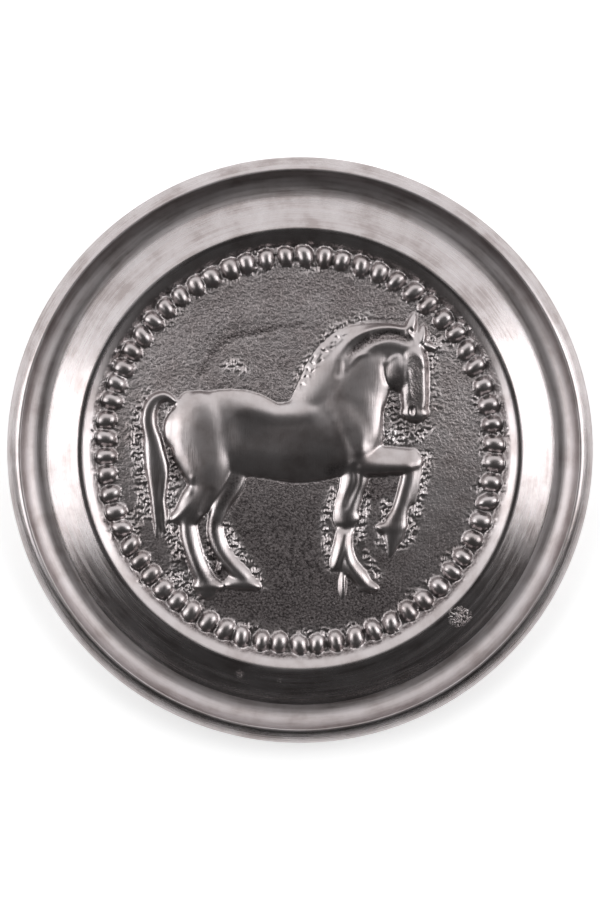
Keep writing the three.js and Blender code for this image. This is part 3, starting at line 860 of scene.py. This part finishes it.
class Nodes:
    """A short way to write a material's nodes."""

    def __init__(self, tree):
        self.tree = tree
        tree.nodes.clear()

    def add(self, kind, inputs=None, **settings):
        node = self.tree.nodes.new(kind)
        for name, value in settings.items():
            setattr(node, name, value)
        for name, value in (inputs or {}).items():
            if isinstance(value, bpy.types.NodeSocket):
                self.tree.links.new(value, node.inputs[name])
            else:
                node.inputs[name].default_value = value
        return node

    def math(self, operation, a, b=0.0, c=0.0):
        return self.add("ShaderNodeMath", {0: a, 1: b, 2: c}, operation=operation).outputs[0]

    def attribute(self, name):
        return self.add("ShaderNodeAttribute", attribute_name=name).outputs["Fac"]

    def noise(self, place, scale, detail, roughness=0.6):
        inputs = {"Vector": place, "Scale": scale, "Detail": detail, "Roughness": roughness}
        return self.add("ShaderNodeTexNoise", inputs).outputs["Fac"]

    def remap(self, value, low, high, to_low=0.0, to_high=1.0, **settings):
        inputs = {"Value": value, "From Min": low, "From Max": high, "To Min": to_low, "To Max": to_high}
        return self.add("ShaderNodeMapRange", inputs, **settings).outputs["Result"]

    def combine(self, x, y, z=0.0):
        return self.add("ShaderNodeCombineXYZ", {"X": x, "Y": y, "Z": z}).outputs[0]

    def mix(self, share, first, second):
        """A colour between the first, where the share is 0, and the second, where it is 1."""
        inputs = {"Factor": share, 6: first, 7: second}
        return self.add("ShaderNodeMix", inputs, data_type="RGBA").outputs[2]

    def bump(self, height, strength, distance, **under):
        inputs = {"Height": height, "Strength": strength, "Distance": distance, **under}
        return self.add("ShaderNodeBump", inputs).outputs["Normal"]

    def ramp(self, factor, *stops):
        node = self.add("ShaderNodeValToRGB", {"Fac": factor})
        elements = node.color_ramp.elements
        while len(elements) < len(stops):
            elements.new(0.5)
        for element, (place, color) in zip(elements, stops):
            element.position = place
            element.color = (*color, 1)
        return node.outputs["Color"]


def along_circle(nodes, radius, x, y, scales):
    """A place for noise that is stretched along the circle, as a lathe's tool leaves it."""
    across, along = scales
    return nodes.combine(
        nodes.math("MULTIPLY", radius, across),
        nodes.math("MULTIPLY", x, along),
        nodes.math("MULTIPLY", y, along),
    )


def blemish_specks(nodes, place):
    """Height of the specks in the blemishes on the slope, from 0 to 1."""
    blemished = 0.0
    for radius, angle, size in BLEMISHES:
        centre = (radius * MM * math.cos(angle), radius * MM * math.sin(angle), lip_height * MM)
        away = nodes.add("ShaderNodeVectorMath", {0: place, 1: centre}, operation="DISTANCE")
        spot = nodes.remap(away.outputs["Value"], 1.4 * size * MM, 0.5 * size * MM)
        blemished = nodes.math("ADD", spot, blemished)
    specks = nodes.remap(nodes.noise(place, BLEMISH_SCALE, 3), 0.46, 0.56)
    return nodes.math("MULTIPLY", nodes.math("MINIMUM", blemished, 1.0), specks)


def metal_color(nodes, place, sand, streaks, turned):
    """Clouded metal, stained in streaks where it was turned, under the patina and the painted shade of
    the dark map.
    """
    streaky = nodes.math("SUBTRACT", streaks, 0.5)
    stain = nodes.math("MULTIPLY", streaky, nodes.math("MULTIPLY", turned, STAIN))
    cloud = nodes.math("ADD", nodes.noise(place, CLOUD_SCALE, 4), stain)
    clean = nodes.ramp(cloud, *METAL_TONES)
    return nodes.mix(nodes.attribute("dark"), clean, nodes.ramp(sand, *PATINA_TONES))


def metal_roughness(nodes, radius, streaks, turned):
    """Glossier in streaks where it was turned, and duller on the cove's wall and where it is satin."""
    streaky = nodes.math("MULTIPLY", nodes.remap(streaks, 0.3, 0.7, *STREAK_GLOSS), turned)
    gloss = nodes.math("ADD", streaky, nodes.math("MULTIPLY_ADD", turned, -TURNED_GLOSS, CAST_ROUGHNESS))
    wall = nodes.math(
        "MULTIPLY",
        nodes.math("GREATER_THAN", radius, (cove_radius - WALL_START) * MM),
        nodes.math("LESS_THAN", radius, edge_radius * MM),
    )
    roughness = nodes.math("ADD", gloss, nodes.math("MULTIPLY", wall, WALL_DULLNESS))
    return nodes.math("ADD", roughness, nodes.math("MULTIPLY", nodes.attribute("satin"), SATIN_DULLNESS))


def metal_bumps(nodes, place, radius, x, y, sand, turned):
    """The lathe's rings, the brushing of the cast face, the sand's grain and the blemishes."""
    rings = nodes.noise(along_circle(nodes, radius, x, y, RING_SCALES), 1, 3)
    ring_bump = nodes.bump(rings, nodes.math("MULTIPLY", turned, RING_BUMP[0]), RING_BUMP[1])
    across, along = BRUSH_SCALES
    downward = nodes.combine(nodes.math("MULTIPLY", x, across), nodes.math("MULTIPLY", y, along))
    brushed = nodes.noise(downward, 1, 3)
    strength, distance = BRUSH_BUMP
    strength = nodes.math("MULTIPLY_ADD", turned, -strength, strength)
    brushed_bump = nodes.bump(brushed, strength, distance, Normal=ring_bump)
    sand_bump = nodes.bump(sand, nodes.attribute("sanded"), SAND_BUMP, Normal=brushed_bump)
    return nodes.bump(blemish_specks(nodes, place), *BLEMISH_BUMP, Normal=sand_bump)


def white_metal():
    material = bpy.data.materials.new("burnished_white_metal")
    material.use_nodes = True
    nodes = Nodes(material.node_tree)
    place = nodes.add("ShaderNodeTexCoord").outputs["Object"]
    x, y, _ = nodes.add("ShaderNodeSeparateXYZ", {"Vector": place}).outputs
    square = nodes.math("ADD", nodes.math("MULTIPLY", x, x), nodes.math("MULTIPLY", y, y))
    radius = nodes.math("SQRT", square)
    turned = nodes.remap(radius, (lip_radius - TURNING_START) * MM, lip_radius * MM)
    streaks = nodes.noise(along_circle(nodes, radius, x, y, STREAK_SCALES), 1, 4, 0.65)
    sand = nodes.noise(place, SAND_SCALE, 2)
    shader = nodes.add(
        "ShaderNodeBsdfPrincipled",
        {
            "Base Color": metal_color(nodes, place, sand, streaks, turned),
            "Metallic": 1.0,
            "Roughness": metal_roughness(nodes, radius, streaks, turned),
            "Normal": metal_bumps(nodes, place, radius, x, y, sand, turned),
        },
    )
    nodes.add("ShaderNodeOutputMaterial", {"Surface": shader.outputs[0]})
    return material


def table_material():
    material = bpy.data.materials.new("pale_table")
    material.use_nodes = True
    nodes = Nodes(material.node_tree)
    shader = nodes.add(
        "ShaderNodeBsdfPrincipled",
        {
            "Base Color": (TABLE_TONE, TABLE_TONE, TABLE_TONE, 1),
            "Roughness": 0.6,
            "Emission Color": (1, 1, 1, 1),
            "Emission Strength": TABLE_GLOW,
        },
    )
    nodes.add("ShaderNodeOutputMaterial", {"Surface": shader.outputs[0]})
    return material


# Camera, light and table

def make_camera():
    data = bpy.data.cameras.new("camera")
    data.lens = CAMERA_LENS
    data.sensor_width = SENSOR
    camera = bpy.data.objects.new("camera", data)
    widest = RIM_HEIGHT - BEVEL_DROP
    camera.location = (0, 0, (VIEW_HEIGHT * CAMERA_LENS / SENSOR + widest) * MM)
    bpy.context.scene.collection.objects.link(camera)
    bpy.context.scene.camera = camera


def make_softbox(name, place, size, radiance):
    """A rectangular light that faces the disc. Its place and size are in metres."""
    data = bpy.data.lights.new(name, "AREA")
    data.shape = "RECTANGLE"
    data.size, data.size_y = size
    data.energy = radiance * math.pi * size[0] * size[1]
    light = bpy.data.objects.new(name, data)
    light.location = place
    light.rotation_euler = (-light.location).to_track_quat("-Z", "Y").to_euler()
    light.visible_camera = False
    bpy.context.scene.collection.objects.link(light)


def make_world():
    """A studio that is light behind the object, dark in front and dark overhead."""
    world = bpy.data.worlds.new("studio")
    bpy.context.scene.world = world
    world.use_nodes = True
    nodes = Nodes(world.node_tree)
    direction = nodes.add("ShaderNodeTexCoord").outputs["Generated"]
    _, y, z = nodes.add("ShaderNodeSeparateXYZ", {"Vector": direction}).outputs
    front, dim, back = (FRONT_TONE,) * 3, (DIM_TONE,) * 3, (BACK_TONE,) * 3
    around = nodes.ramp(nodes.remap(y, -1.0, 1.0), (0.3, front), (0.48, dim), (0.62, back), (1, back))
    overhead = nodes.remap(z, 0.76, 0.96, interpolation_type="SMOOTHSTEP")
    tone = nodes.mix(overhead, around, (OVERHEAD_TONE, OVERHEAD_TONE, OVERHEAD_TONE, 1))
    background = nodes.add("ShaderNodeBackground", {"Color": tone, "Strength": 1.0})
    nodes.add("ShaderNodeOutputWorld", {"Surface": background.outputs[0]})


def make_table():
    side = TABLE_HALF
    corners = [(-side, -side, 0), (side, -side, 0), (side, side, 0), (-side, side, 0)]
    mesh = bpy.data.meshes.new("table")
    mesh.from_pydata(corners, [], [(0, 1, 2, 3)])
    mesh.materials.append(table_material())
    table = bpy.data.objects.new("table", mesh)
    bpy.context.scene.collection.objects.link(table)


casting = make_casting()
casting.data.materials.append(white_metal())
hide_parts("phalera")
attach(casting, "root")
make_table()
make_camera()
make_world()
make_softbox("left_softbox", (-0.5, -0.01, 0.32), (0.34, 0.4), SIDE_RADIANCE)
make_softbox("right_softbox", (0.5, 0.05, 0.32), (0.38, 0.4), SIDE_RADIANCE)
bpy.context.scene.view_settings.view_transform = "Standard"
